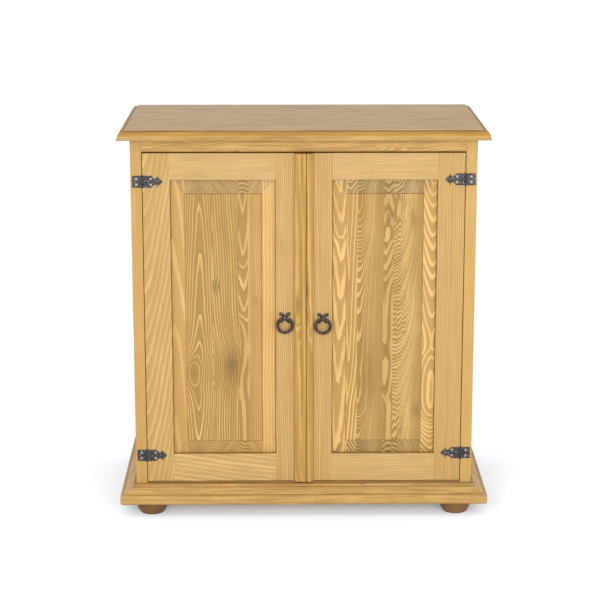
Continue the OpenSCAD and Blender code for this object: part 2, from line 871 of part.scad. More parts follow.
// Section of a raised panel whose opening runs from a to b, as (across, depth) points
function panel_section(a, b) =
    let (tongue = groove_depth - panel_play, back = front_y + groove_y + tongue_t,
        field = front_y + field_depth, foot = front_y + groove_y)
    [[a - tongue, foot], [a, foot], [a + bevel_w, field + field_step], [a + bevel_w, field],
        [b - bevel_w, field], [b - bevel_w, field + field_step], [b, foot], [b + tongue, foot],
        [b + tongue, back], [a - tongue, back]];

// The same section across and up crosses itself into a panel with mitred bevels
module door_panel(s) {
    tongue = groove_depth - panel_play;
    color(pine_panel) on_side(s) intersection() {
        along_z(rail_z0 - tongue, rail_z1 + tongue, panel_section(-stile_x, -panel_x));
        along_x(-stile_x - tongue, -panel_x + tongue,
            [for (p = panel_section(rail_z0, rail_z1)) [p[1], p[0]]]);
    }
}

module left_door_panel() {
    door_panel(-1);
}

module right_door_panel() {
    door_panel(1);
}

// The outer reed of a door's bead, from the bead's edge to the groove beside the middle reed
function outer_reed() =
    bow([-bead_w / 2, front_y - bead_edge_t], [-(reed_w + groove_flat) / 2, front_y - bead_groove_t],
        -outer_rise, 12);

module meeting_bead(s) {
    end_x = meeting_x(s);
    groove_front = front_y - bead_groove_t;
    middle = s < 0
        ? bow([(groove_flat - reed_w) / 2, groove_front], [end_x, groove_front], -reed_rise, 12)
        : [[end_x, groove_front]];
    color(pine_bead) on_side(s)
        along_z(door_z0, door_z1,
            concat([[-bead_w / 2, front_y]], outer_reed(), middle, [[end_x, front_y]]));
}

module left_meeting_bead() {
    meeting_bead(-1);
}

module right_meeting_bead() {
    meeting_bead(1);
}

module strike_plate(s) {
    x = meeting_x(s) - catch_x;
    y0 = front_y + door_t;
    color(screw_steel) on_side(s)
        block([x - catch_len * 0.4, y0, strike_z], [x + catch_len * 0.4, y0 + strike_t, strike_z + catch_h]);
}

module left_strike_plate() {
    strike_plate(-1);
}

module right_strike_plate() {
    strike_plate(1);
}

// Four round lobes joined by bars, with a small disc in the middle
module rosette_outline() {
    arm = norm([lobe_x, lobe_z]);
    circle(r = lobe_r);
    for (dx = [-1, 1])
        for (dz = [-1, 1]) {
            translate([dx * lobe_x, dz * lobe_z]) circle(r = lobe_r);
            rotate(atan2(dz * lobe_z, dx * lobe_x)) translate([0, -lobe_r / 2]) square([arm, lobe_r]);
        }
}

// The plate behind the eye, bored for the staple's shank
module rosette(s) {
    color(iron) on_side(s) difference() {
        translate([-pull_x, front_y, eye_z(s) + rosette_rise])
            rotate([90, 0, 0]) linear_extrude(rosette_t) rosette_outline();
        rod_y(-pull_x, eye_z(s), shank_r + fit, front_y - rosette_t - cut, front_y + cut);
    }
}

module left_rosette() {
    rosette(-1);
}

module right_rosette() {
    rosette(1);
}

// The eye that carries the ring, on a shank riveted through the stile
module staple(s) {
    rivet_t = 1.2;
    color(iron) on_side(s) {
        translate([-pull_x, ring_y, eye_z(s)]) rotate([0, 90, 0]) rotate_extrude()
            translate([eye_r, 0]) circle(r = eye_wire_r, $fn = 24);
        rod_y(-pull_x, eye_z(s), shank_r, ring_y + eye_r - eye_wire_r * 0.2, front_y + door_t + rivet_t);
        rod_y(-pull_x, eye_z(s), shank_r * 2, front_y + door_t, front_y + door_t + rivet_t);
    }
}

module left_staple() {
    staple(-1);
}

module right_staple() {
    staple(1);
}

module pull_ring(s) {
    color(ring_iron) on_side(s)
        translate([-pull_x, ring_y, eye_z(s) - ring_r]) rotate([90, 0, 0]) rotate_extrude()
            translate([ring_r, 0]) circle(r = ring_bar_r, $fn = 32);
}

module left_ring() {
    pull_ring(-1);
}

module right_ring() {
    pull_ring(1);
}

top_board();
left_side();
right_side();
cabinet_floor();
frieze_rail();
rear_top_rail();
door_stop();
back_boards();
base_board();
plinth_moulding_front();
plinth_moulding_left();
plinth_moulding_right();
front_left_foot();
front_right_foot();
rear_left_foot();
rear_right_foot();
upper_shelf();
lower_shelf();
upper_left_batten();
upper_right_batten();
lower_left_batten();
lower_right_batten();
batten_screws();
glue_blocks();
left_catch();
right_catch();
upper_left_frame_leaf();
upper_right_frame_leaf();
lower_left_frame_leaf();
lower_right_frame_leaf();
hinge_pins();
frame_leaf_screws();
left_hinge_stile();
left_meeting_stile();
left_door_top_rail();
left_door_bottom_rail();
left_door_panel();
left_meeting_bead();
left_upper_door_leaf();
left_lower_door_leaf();
left_door_leaf_screws();
left_strike_plate();
left_rosette();
left_staple();
left_ring();
right_hinge_stile();
right_meeting_stile();
right_door_top_rail();
right_door_bottom_rail();
right_door_panel();
right_meeting_bead();
right_upper_door_leaf();
right_lower_door_leaf();
right_door_leaf_screws();
right_strike_plate();
right_rosette();
right_staple();
right_ring();
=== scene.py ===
import json
import math
import bpy
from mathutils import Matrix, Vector


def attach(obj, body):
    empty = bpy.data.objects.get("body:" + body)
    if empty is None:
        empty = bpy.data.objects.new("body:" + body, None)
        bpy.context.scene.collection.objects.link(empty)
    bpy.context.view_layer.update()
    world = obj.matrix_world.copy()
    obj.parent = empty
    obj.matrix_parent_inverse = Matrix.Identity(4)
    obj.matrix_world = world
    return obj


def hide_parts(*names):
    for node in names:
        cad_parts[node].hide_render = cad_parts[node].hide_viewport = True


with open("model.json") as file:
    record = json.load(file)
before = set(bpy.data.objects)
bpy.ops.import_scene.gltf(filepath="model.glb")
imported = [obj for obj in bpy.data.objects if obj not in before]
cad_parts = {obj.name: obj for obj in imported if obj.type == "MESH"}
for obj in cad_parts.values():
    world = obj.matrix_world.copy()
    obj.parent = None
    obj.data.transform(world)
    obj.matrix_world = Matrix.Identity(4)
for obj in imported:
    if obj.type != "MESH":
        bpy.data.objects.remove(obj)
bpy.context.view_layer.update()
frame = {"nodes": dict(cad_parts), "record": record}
nodes = frame["nodes"]
bodyOf = {node: body for body, members in frame["record"]["behaviour"]["bodies"].items() for node in members}
slotOf = {row["node"]: row["material_slot"] for row in frame["record"]["subparts"]}
print("frame loaded:", len(nodes), "nodes")


def makeActive(piece):
    bpy.ops.object.select_all(action="DESELECT")
    piece.select_set(True)
    bpy.context.view_layer.objects.active = piece


def editAll(piece):
    makeActive(piece)
    bpy.ops.object.mode_set(mode="EDIT")
    bpy.ops.mesh.select_all(action="SELECT")


def objectMode():
    bpy.ops.object.mode_set(mode="OBJECT")


def modify(piece, kind, **settings):
    # adds a modifier and applies it at once
    makeActive(piece)
    mod = piece.modifiers.new(kind.title(), kind)
    for key, value in settings.items():
        setattr(mod, key, value)
    bpy.ops.object.modifier_apply(modifier=mod.name)


def settle(piece):
    # place, turn and scale go into the mesh
    makeActive(piece)
    bpy.ops.object.transform_apply(location=True, rotation=True, scale=True)


# a gap in metres and two angles in degrees: facets flatter than the first are one face, and edges sharper than
# the second stay sharp
welding = {"gap": 0.00002, "facet": 0.6, "sharp": 38}


def smooth(piece, degrees=welding["sharp"]):
    makeActive(piece)
    bpy.ops.object.shade_smooth_by_angle(angle=math.radians(degrees))


def joinAs(pieces, name):
    makeActive(pieces[0])
    for piece in pieces[1:]:
        piece.select_set(True)
    bpy.ops.object.join()
    pieces[0].name = name
    pieces[0].data.name = name
    return pieces[0]


def mergedCopy(node, name):
    # a welded copy of a CAD node's mesh, free of its triangle seams
    piece = bpy.data.objects.new(name, nodes[node].data.copy())
    bpy.context.scene.collection.objects.link(piece)
    piece.data.materials.clear()
    editAll(piece)
    bpy.ops.mesh.customdata_custom_splitnormals_clear()
    bpy.ops.mesh.remove_doubles(threshold=welding["gap"])
    bpy.ops.mesh.dissolve_limited(angle_limit=math.radians(welding["facet"]))
    objectMode()
    return piece


dressed = set()  # the CAD nodes that have a piece of the scene in their place


def dress(piece, body, material, slot, *stoodFor):
    piece.data.materials.clear()
    piece.data.materials.append(material)
    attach(piece, body)
    if stoodFor:
        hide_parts(*stoodFor)
    dressed.update(stoodFor)


class Wire:
    # a socket that takes Python's arithmetic
    def __init__(self, tree, socket=None):
        self.tree = tree
        self.socket = socket

    def node(self, kind, settings=None, inputs=None, out=0):
        made = self.tree.nodes.new("ShaderNode" + kind)
        for key, value in (settings or {}).items():
            if key == "stops":
                ramp = made.color_ramp
                ramp.elements[0].position = value[0][0]
                ramp.elements[1].position = value[-1][0]
                for place, _ in value[1:-1]:
                    ramp.elements.new(place)
                for element, (_, colour) in zip(ramp.elements, value):
                    element.color = colour
            elif key == "interpolation":
                made.color_ramp.interpolation = value
            elif key == "points":
                track = made.mapping.curves[0].points
                track[0].location, track[-1].location = value[0], value[-1]
                for place in value[1:-1]:
                    track.new(*place)
                for point in track:
                    point.handle_type = "AUTO_CLAMPED"
                made.mapping.update()
            else:
                setattr(made, key, value)
        for key, value in (inputs or {}).items():
            if isinstance(value, Wire):
                self.tree.links.new(value.socket, made.inputs[key])
            else:
                made.inputs[key].default_value = value
        return Wire(self.tree, made.outputs[out]) if len(made.outputs) else None

    def output(self, name):
        return Wire(self.tree, self.socket.node.outputs[name])

    def math(self, operation, *values):
        return self.node("Math", {"operation": operation}, dict(enumerate(values)))

    def __add__(self, other): return self.math("ADD", self, other)
    def __sub__(self, other): return self.math("SUBTRACT", self, other)
    def __rsub__(self, other): return self.math("SUBTRACT", other, self)
    def __mul__(self, other): return self.math("MULTIPLY", self, other)
    def __truediv__(self, other): return self.math("DIVIDE", self, other)
    def __pow__(self, other): return self.math("POWER", self, other)


def ease(wire, value, low, high):
    # 0 below low and 1 above high, or the other way round
    return wire.node("MapRange", {"interpolation_type": "SMOOTHSTEP"},
                     {"Value": value, "From Min": low, "From Max": high})


def paint(red, green, blue):
    # a colour as seen on screen, 0 to 255
    seen = [c / 255 for c in (red, green, blue)]
    return tuple(c / 12.92 if c <= 0.04045 else ((c + 0.055) / 1.055) ** 2.4 for c in seen) + (1,)


def startMaterial(name):
    material = bpy.data.materials.new(name)
    material.use_nodes = True
    material.node_tree.nodes.clear()
    return material, Wire(material.node_tree)


def finishMaterial(wire, colour, roughness, height, bumpDistance, metallic=0.0, specular=0.5):
    normal = wire.node("Bump", None, {"Strength": 1.0, "Distance": bumpDistance, "Height": height})
    shader = wire.node("BsdfPrincipled", None, {
        "Base Color": colour, "Roughness": roughness, "Metallic": metallic,
        "Specular IOR Level": specular, "Normal": normal})
    wire.node("OutputMaterial", None, {"Surface": shader})


def mixColour(wire, factor, first, second, blend="MIX"):
    return wire.node("Mix", {"data_type": "RGBA", "blend_type": blend, "clamp_factor": True},
                     {0: factor, 6: first, 7: second}, out=2)


noiseSpread = 2.6


def noiseAt(wire, place, scale, detail=2.0, roughness=0.5):
    # signed noise, mostly from -1 to 1
    grey = wire.node("TexNoise", None,
                     {"Vector": place, "Scale": scale, "Detail": detail, "Roughness": roughness})
    return (grey - 0.5) * noiseSpread


# pith: its place across the grain; roundness: its depth under the face; rise: how fast the arches climb;
# spacing, ripple, sway and zigzag: of the rings, in mm; curl: how the rings crowd away from the pith;
# duty and tilt: width of the pale lines and the slant at which they are as wide as on the flanks;
# fade: how far from the pith they pale; contrast, glow and tone: their strength, their light and the board's;
# steep: how fast a bevel cuts down through the rings;
# axis and spine: curves along the grain, the arches' middle line and the rings that have ended by a height
plainBoard = {"pith": 120, "roundness": 30, "rise": 0.01, "spacing": 3.2, "ripple": 0.5, "curl": 0.0,
              "duty": 0.45, "tone": 0.0, "contrast": 0.35, "glow": 0.0, "sway": 5.0, "fade": 400,
              "zigzag": 0.0, "steep": 0.0, "tilt": 0.1, "axis": (), "spine": ()}


def board(start, **given):
    # one sawn board, from its first edge across the grain
    return {**plainBoard, "start": start, **given}


widestBoard = 400


def boardTable(wire, across, boards):
    # the numbers of the glued board at a point, as plain numbers where all the boards agree
    picked = dict(boards[0])
    varied = [key for key in plainBoard if key not in ("axis", "spine") and len({b[key] for b in boards}) > 1]
    if not varied:
        return picked
    low, high = boards[0]["start"], boards[-1]["start"] + widestBoard
    place = (across - low) / (high - low)
    for first in range(0, len(varied), 3):
        trio = varied[first:first + 3]
        lows = [min(b[key] for b in boards) for key in trio]
        spans = [max(b[key] for b in boards) - lows[k] for k, key in enumerate(trio)]
        stops = []
        for b in boards:
            shares = [(b[key] - lows[k]) / spans[k] for k, key in enumerate(trio)]
            stops.append(((b["start"] - low) / (high - low), tuple(shares + [0] * (3 - len(shares))) + (1,)))
        ramp = wire.node("ValToRGB", {"interpolation": "CONSTANT", "stops": stops}, {0: place})
        split = wire.node("SeparateColor", None, {0: ramp})
        for k, channel in enumerate(("Red", "Green", "Blue")[:len(trio)]):
            picked[trio[k]] = split.output(channel) * spans[k] + lows[k]
    return picked


def boardCurve(wire, across, along, boards, key):
    # the glued board's own curve along the grain, through pairs of height and value
    found = None
    for b in boards:
        pairs = sorted(b[key])
        bottom, top = pairs[0][0], pairs[-1][0]
        low, high = min(value for _, value in pairs), max(value for _, value in pairs)
        value = low
        if high > low:
            tall, span = top - bottom, high - low
            points = [((height - bottom) / tall, (value - low) / span) for height, value in pairs]
            value = wire.node("FloatCurve", {"points": points}, {"Value": (along - bottom) / tall})
            value = value * span + low
        if found is None:
            found = value
        else:
            found = wire.node("Mix", {"data_type": "FLOAT"},
                              {0: wire.math("GREATER_THAN", across, b["start"]), 2: found, 3: value})
    return found


# the door pieces' dark side colour is partly stain and partly painted shade in the gaps round the doors
doorWax = {"ground": paint(165, 131, 77), "line": paint(190, 156, 99), "shade": paint(128, 90, 46),
           "end": paint(128, 96, 54), "side": paint(128, 90, 44), "streak": 0.16, "grain": 0.22, "patch": 0.03}
railWax = {**doorWax, "ground": paint(169, 137, 86), "streak": 0.2, "patch": 0.09}
panelWax = {"ground": paint(147, 114, 60), "line": paint(192, 158, 96), "shade": paint(108, 78, 42),
            "side": paint(128, 90, 44), "streak": 0.07, "grain": 0.22, "patch": 0.03}
edgeWax = {"ground": paint(164, 126, 66), "line": paint(188, 150, 88), "shade": paint(126, 86, 38),
           "end": paint(130, 95, 48), "side": paint(178, 144, 84), "streak": 0.14, "grain": 0.22, "patch": 0.04}
reedWax = {**edgeWax, "ground": paint(163, 126, 60), "line": paint(196, 159, 95), "side": paint(182, 144, 82),
           "streak": 0.24, "grain": 0.1}
mouldWax = {"ground": paint(164, 128, 70), "line": paint(194, 157, 96), "shade": paint(112, 76, 34),
            "end": paint(126, 90, 46), "side": paint(180, 146, 88), "streak": 0.5, "grain": 0.16, "patch": 0.2}
# the top's lightest colour is also a painted highlight along the flat's front arris
topWax = {"ground": paint(159, 129, 86), "line": paint(178, 150, 108), "shade": paint(118, 78, 30),
          "end": paint(128, 94, 48), "side": paint(166, 130, 73), "worn": paint(206, 172, 122),
          "rim": paint(152, 110, 31), "streak": 0.5, "grain": 0.06, "patch": 0.09}
rawWood = {"ground": paint(186, 152, 104), "line": paint(204, 176, 128), "shade": paint(142, 104, 58),
           "end": paint(156, 124, 80), "side": paint(186, 152, 104), "streak": 0.08, "grain": 0.22,
           "patch": 0.03}
# the feet are painted dark: partly their own stain, partly painted shade under the base
footWaxAndShade = {"ground": paint(104, 75, 43), "line": paint(128, 94, 54), "shade": paint(78, 54, 28),
           "end": paint(100, 72, 40), "side": paint(108, 77, 43), "streak": 0.2, "grain": 0.16, "patch": 0.1}


# the noises of the wood: scale across and along the grain per mm, offset, detail, roughness
noises = {"sway": (0.010, 0.0042, 3.1, 1.0, 0.5), "drift": (0.02, 0.006, 11.7, 2.0, 0.5),
          "wave": (0.06, 0.03, 5.3, 2.0, 0.6), "zigzag": (0.11, 0.006, 40.3, 2.0, 0.6),
          "fibre": (0.9, 0.03, 2.0, 3.0, 0.65), "cloud": (0.02, 0.007, 21.0, 2.0, 0.5),
          "streak": (0.22, 0.005, 8.0, 3.0, 0.7), "mottle": (0.45, 0.14, 55.0, 3.0, 0.8),
          "patchy": (0.05, 0.014, 33.0, 2.0, 0.5)}
growth = {"drift": 1.2, "firstRing": 40.9, "boardShift": 0.31}
# the pale late wood: where it starts and ends in a ring's turn, its dark edge, and what makes rings differ
lateWood = {"start": 0.89, "full": 0.88, "fullShare": 0.4, "slantPower": 0.4, "end": 0.95, "edge": 0.97,
            "edgeWide": 0.1, "edgeSharp": 0.02, "widthFloor": 0.7, "widthGift": 0.6, "strengthFloor": 0.65,
            "strengthGift": 0.5, "cloud": 0.2, "patchy": 0.35, "bevelGain": 0.8, "fadeFrom": 0.6, "fadeTo": 1.4,
            "fadeShare": 0.75, "edgeShare": 0.35}
# how the noises tint the wax, where a surface counts as a bevel, a worked edge or an end, and how far in the
# painted shade along the seams and the painted nail heads reach
waxed = {"fibre": 0.04, "cloud": 0.035, "mottle": 0.09, "cloudGrey": 0.03, "toneGrey": 0.06, "facing": 0.05,
         "flat": 0.93, "turned": 0.6, "endFrom": 0.04, "endTo": 0.2, "endShare": 0.55, "seamCore": 0.2,
         "seamDepth": (10.0, 8.0), "nailDepth": (1.0, 0.5), "nailSoft": 0.3, "nail": paint(92, 88, 84)}
skin = {"rough": 0.46, "roughFibre": 0.05, "lineRelief": 0.5, "fibreRelief": 0.35, "bump": 0.00018,
        "specular": 0.2}


def pine(name, grain, through, face, wax, boards, knots=(), seams=(), bands=(), nails=(), seed=0.0,
         sideShare=0.5, bevelTints=()):
    # grown rings cut by the piece's own surface, so arches, quarter grain and end grain come from one field
    material, wire = startMaterial(name)
    coordinates = wire.node("TexCoord")
    split = wire.node("SeparateXYZ", None, {0: coordinates.output("Object")})
    facing = wire.node("SeparateXYZ", None, {0: coordinates.output("Normal")})
    mm = {axis: split.output(axis.upper()) * 1000 for axis in "xyz"}
    acrossAxis = next(axis for axis in "xyz" if axis not in (grain, through))
    u, w = mm[acrossAxis], mm[grain]
    v = (mm[through] - face) * (1 if face < 0 else -1)
    at = boardTable(wire, u, boards)

    def noise(kind, scale=None):
        across, along, offset, detail, roughness = noises[kind]
        across = scale or across
        place = wire.node("CombineXYZ", None, {0: u * across + offset, 1: v * across + seed,
                                               2: w * along + at["pith"] * growth["boardShift"]})
        return noiseAt(wire, place, 1.0, detail, roughness)

    if boards[0]["spine"]:
        axis = boardCurve(wire, u, w, boards, "axis")
        climb = boardCurve(wire, u, w, boards, "spine")
    else:
        axis = at["pith"]
        climb = w * at["rise"] / at["spacing"]
    sideways = u - axis + noise("sway") * at["sway"]
    away = wire.math("ABSOLUTE", sideways)
    depth = v + at["roundness"]
    toPith = wire.math("SQRT", sideways * sideways + depth * depth)
    distance = toPith - at["roundness"] + noise("drift") * growth["drift"] + noise("wave") * at["ripple"]
    slant = away / toPith
    if any(b["curl"] for b in boards):
        distance = distance + away ** 3.0 * at["curl"]
        slant = slant + away * away * at["curl"] * 3
    if any(b["zigzag"] for b in boards):
        distance = distance + noise("zigzag") * at["zigzag"]
    if any(b["steep"] for b in boards):
        distance = distance + v * at["steep"]
    knotMask = None
    # a knot: middle across and along, half sizes, how far it pushes the rings aside, how dark it is
    for place, height, wide, tall, push, dark in knots:
        reach = ((u - place) / wide) ** 2.0 + ((w - height) / tall) ** 2.0
        spot = wire.math("EXPONENT", reach * -1.0)
        distance = distance + spot * push
        knotMask = spot * dark if knotMask is None else knotMask + spot * dark

    phase = distance / at["spacing"] + climb + growth["firstRing"]
    ring = wire.math("FLOOR", phase)
    turn = wire.math("FRACT", phase)
    ringGift = wire.node("TexWhiteNoise", {"noise_dimensions": "1D"}, {"W": ring + at["pith"]}, out="Value")
    # pale late wood swells slowly and ends sharply against a thin dark edge
    steepness = wire.math("SQRT", slant * slant + at["tilt"] * at["tilt"])
    width = (steepness ** lateWood["slantPower"] * at["duty"]
             * (ringGift * lateWood["widthGift"] + lateWood["widthFloor"]))
    swell = ease(wire, turn, lateWood["start"] - width, lateWood["full"] - width * lateWood["fullShare"])
    line = swell * ease(wire, turn, lateWood["end"], lateWood["start"])
    darkEdge = ease(wire, wire.math("ABSOLUTE", turn - lateWood["edge"]), lateWood["edgeWide"],
                    lateWood["edgeSharp"])
    fibre, cloud, patchy = noise("fibre"), noise("cloud"), noise("patchy")
    strength = ((ringGift * lateWood["strengthGift"] + lateWood["strengthFloor"]) * at["contrast"]
                * (cloud * lateWood["cloud"] + patchy * lateWood["patchy"] + 1.0))
    if bevelTints:
        up = wire.math("GREATER_THAN", facing.output("Z"), waxed["facing"])
        down = wire.math("LESS_THAN", facing.output("Z"), -waxed["facing"])
        strength = strength * ((up + down) * lateWood["bevelGain"] + 1.0)
    if any(b["fade"] < plainBoard["fade"] for b in boards):
        paled = ease(wire, away, at["fade"] * lateWood["fadeFrom"], at["fade"] * lateWood["fadeTo"])
        strength = strength * (1.0 - paled * lateWood["fadeShare"])
    colour = mixColour(wire, line * strength, wax["ground"], wax["line"])
    dark = darkEdge * strength * lateWood["edgeShare"]
    if knotMask is not None:
        dark = dark + knotMask
    colour = mixColour(wire, dark, colour, wax["shade"])
    # worked edges take the side colour, on the door pieces a dark one that is partly stain and partly painted
    # shade in the gaps round the doors, and end grain takes the most stain
    across = wire.math("ABSOLUTE", facing.output(through.upper()))
    ends = wire.math("ABSOLUTE", facing.output(grain.upper()))
    worked = ease(wire, across, waxed["flat"], waxed["turned"])
    colour = mixColour(wire, worked * sideShare, colour, wax["side"])
    if bevelTints:
        colour = mixColour(wire, up, colour, bevelTints[0], "MULTIPLY")
        colour = mixColour(wire, down, colour, bevelTints[1], "MULTIPLY")
    else:
        cut = ease(wire, ends, waxed["endFrom"], waxed["endTo"])
        colour = mixColour(wire, cut * waxed["endShare"], colour, wax["end"])
    # painted light and shade: colours mixed in between two heights
    for low, high, soft, share, tint in bands:
        inside = ease(wire, mm["z"], low - soft, low + soft) * ease(wire, mm["z"], high + soft, high - soft)
        colour = mixColour(wire, inside * share, colour, wax[tint])
    value = (line * at["glow"] + at["tone"] + 1.0 + fibre * waxed["fibre"] + cloud * waxed["cloud"]
             + noise("streak", wax["grain"]) * wax["streak"] + noise("mottle") * waxed["mottle"])
    value = value + patchy * wax["patch"]
    grey = 1.0 - cloud * waxed["cloudGrey"] - at["tone"] * waxed["toneGrey"]
    colour = wire.node("HueSaturation", None, {"Saturation": grey, "Value": value, "Color": colour})
    # painted shade along a rectangle: middle across and along, half sizes, width, share
    for place, level, halfWide, halfTall, width, share in seams:
        off = wire.math("MAXIMUM", wire.math("ABSOLUTE", u - place) - halfWide,
                        wire.math("ABSOLUTE", w - level) - halfTall)
        drawn = ease(wire, wire.math("ABSOLUTE", off), width, width * waxed["seamCore"])
        drawn = drawn * ease(wire, v, *waxed["seamDepth"])
        colour = mixColour(wire, drawn * share, colour, wax["shade"])
    # rows of nail heads along the grain: height, first place, pitch, radius
    for level, first, pitch, radius in nails:
        besides = (wire.math("FRACT", (u - first) / pitch + 0.5) - 0.5) * pitch
        reach = wire.math("SQRT", besides * besides + (w - level) * (w - level))
        head = ease(wire, reach, radius + waxed["nailSoft"], radius - waxed["nailSoft"])
        colour = mixColour(wire, head * ease(wire, v, *waxed["nailDepth"]), colour, waxed["nail"])
    relief = line * at["contrast"] * skin["lineRelief"] + fibre * skin["fibreRelief"]
    finishMaterial(wire, colour, fibre * skin["roughFibre"] + skin["rough"], relief, skin["bump"],
                   specular=skin["specular"])
    return material


sanded = {"width": 0.0007, "sharper": 32, "panelSmooth": 6}


def softened(node, name, width, smoothBelow):
    # a copy of the CAD piece with its sharp edges eased, as by sandpaper, and its flat faces kept flat
    piece = mergedCopy(node, name)
    modify(piece, "BEVEL", width=width, segments=2, limit_method="ANGLE",
           angle_limit=math.radians(sanded["sharper"]), harden_normals=False)
    smooth(piece, smoothBelow)
    modify(piece, "WEIGHTED_NORMAL", keep_sharp=True)
    return piece


# the faces of the door frames, the base board and the panels' fields, in mm
frontY, boardFront, panelFace = -214.5, -255.5, -213.5
# what the bevels that face up and those that face down multiply the colour by
leftTints = (0.83, 0.84, 0.96, 1), (0.92, 0.91, 0.88, 1)
rightTints = (0.76, 0.78, 0.92, 1), (0.77, 0.76, 0.76, 1)


def fieldShadeSeams(middle):
    # painted shade in the groove round a panel and along the rim of its field
    return [(middle, 534, 136.75, 371, 2.4, 0.8), (middle, 534, 99.5, 334, 1.8, 0.4)]


leftPanel = {
    "boards": [
        board(-360, roundness=30, spacing=13.0, tone=0.39, contrast=0.28, sway=3.0,
              axis=((920, -352), (700, -352), (560, -345), (150, -350)),
              spine=((920, 3), (705, 2.2), (150, 0))),
        board(-311, roundness=22, spacing=4.9, ripple=0.6, contrast=0.72, sway=2.0, steep=3.0, duty=0.5,
              tilt=0.08,
              axis=((920, -274), (709, -272), (473, -275), (439, -280), (385, -289), (346, -286), (282, -279),
                    (150, -282)),
              spine=((960, 7), (845, 6), (709, 5), (541, 4), (473, 3), (439, 2), (419, 1), (386, 0.1), (346, 1),
                     (282, 2), (195, 3), (115, 4))),
        board(-240, roundness=20, spacing=6.6, ripple=0.8, contrast=0.65, tone=-0.02, sway=2.5, steep=4.5,
              duty=0.5, zigzag=0.8, axis=((0, -330),),
              spine=((925, 2), (700, 0.6), (560, 0), (525, -0.4), (430, -3.6), (410, -4), (330, -2.2),
                     (250, -1.7), (115, -1.4))),
        board(-171, roundness=4, spacing=16.0, ripple=1.2, contrast=0.72, sway=1.5, zigzag=1.6, tilt=0.4,
              steep=8.0,
              axis=((920, -159), (555, -158), (525, -150), (417, -156), (349, -165), (300, -159), (150, -154)),
              spine=((925, -1), (815, 0), (703, 1), (667, 2), (610, 3), (553, 4), (526, 5), (500, 5.6),
                     (465, 5.8), (150, 5.85))),
        board(-146, axis=((0, -260),), spine=((0, 0),), roundness=20, spacing=5.0, tone=0.12, contrast=0.55,
              steep=-3.0),
        board(-108, axis=((0, -200),), spine=((0, 0),), spacing=9.0, tone=0.62, contrast=0.25)],
    "knots": [(-191, 408, 23, 42, 9, 0.7), (-230, 622, 8, 20, 6, 0.55), (-126, 582, 8, 11, 1, 0.3),
              (-290, 385, 9, 15, 0, 0.3), (-79, 207, 2, 2, 0, 0.9)],
    "seams": fieldShadeSeams(-210.25),
}
rightPanel = {
    "boards": [
        board(60, roundness=4, spacing=14.0, ripple=2.4, tone=0.29, contrast=0.5, glow=0.08, sway=1.5,
              duty=0.7, tilt=0.2, zigzag=3.0, axis=((916, 92), (659, 96), (439, 91), (170, 85)),
              spine=((916, -1), (843, 0), (769, 1), (733, 2), (659, 3), (549, 4), (439, 5), (275, 6),
                     (150, 6.6))),
        board(110.8, roundness=3, spacing=9.0, ripple=0.8, tone=0.17, contrast=0.8, sway=1.5, steep=-4.0,
              axis=((916, 121), (640, 118), (420, 119), (300, 114)),
              spine=((916, -1), (628, 0), (417, 1), (305, 2), (170, 2.4))),
        board(139.3, roundness=60, spacing=3.4, curl=0.0005, fade=44, ripple=0.7, contrast=0.9, tilt=0.25,
              tone=-0.055, duty=0.6, sway=1.5, steep=-3.0, zigzag=0.7, axis=((0, 142),),
              spine=((916, -0.6), (820, 0), (796, 1), (684, 10), (659, 11), (627, 12), (544, 14), (468, 15),
                     (300, 16), (264, 19), (207, 23), (165, 23.3))),
        board(208.2, roundness=9, spacing=12.0, ripple=1.0, contrast=0.75, tone=-0.085, sway=1.5, duty=0.75,
              tilt=0.4, zigzag=2.0, steep=-5.0,
              axis=((916, 219), (790, 219), (759, 219), (735, 213), (600, 212), (480, 214), (440, 216),
                    (342, 212), (290, 226), (150, 226)),
              spine=((916, 5.2), (850, 4.6), (821, 3.9), (790, 3.3), (759, 2.8), (735, 3.3), (700, 4.2),
                     (665, 5), (634, 6), (600, 6.5), (480, 6.85), (452, 7.1), (400, 6.75), (342, 7), (325, 7.5),
                     (300, 7.8), (150, 7.85))),
        board(233.8, roundness=45, spacing=4.0, curl=0.00022, fade=50, ripple=0.8, tone=-0.085, contrast=1.1,
              duty=0.85, tilt=0.35, zigzag=4.4, sway=3.0, steep=-3.0,
              axis=((916, 240), (640, 236), (540, 243), (500, 241), (300, 235), (165, 240)),
              spine=((916, -1), (799, 0), (781, 1), (633, 15), (560, 22), (505, 26), (205, 50), (165, 50.5))),
        board(310.2, roundness=8, spacing=10.0, ripple=0.5, tone=0.34, contrast=0.5, glow=0.11, sway=1.5,
              duty=0.65, tilt=0.3, axis=((0, 339),),
              spine=((871, 0), (842, 1), (804, 2), (764, 3), (732, 4), (686, 5), (652, 6), (608, 7), (550, 8),
                     (461, 9.3), (432, 8.4), (395, 7.4), (330, 7), (300, 7.1), (271, 8), (234, 11), (197, 14),
                     (160, 16)))],
    "knots": [(286, 800, 8, 26, 3, 0.4), (298, 283, 12, 18, 4, 0.4), (222, 810, 10, 20, 0, 0.55),
              (219, 447, 6, 10, 0, 0.4), (175, 400, 26, 110, 0, 0.36)],
    "seams": fieldShadeSeams(210.25),
}


def along(grain, through, face, wax, seed=0.0, knots=(), bands=(), sideShare=0.5, **settings):
    # the look of a piece sawn from one board
    return dict(grain=grain, through=through, face=face, wax=wax, boards=[board(0, **settings)], seed=seed,
                knots=knots, bands=bands, sideShare=sideShare)
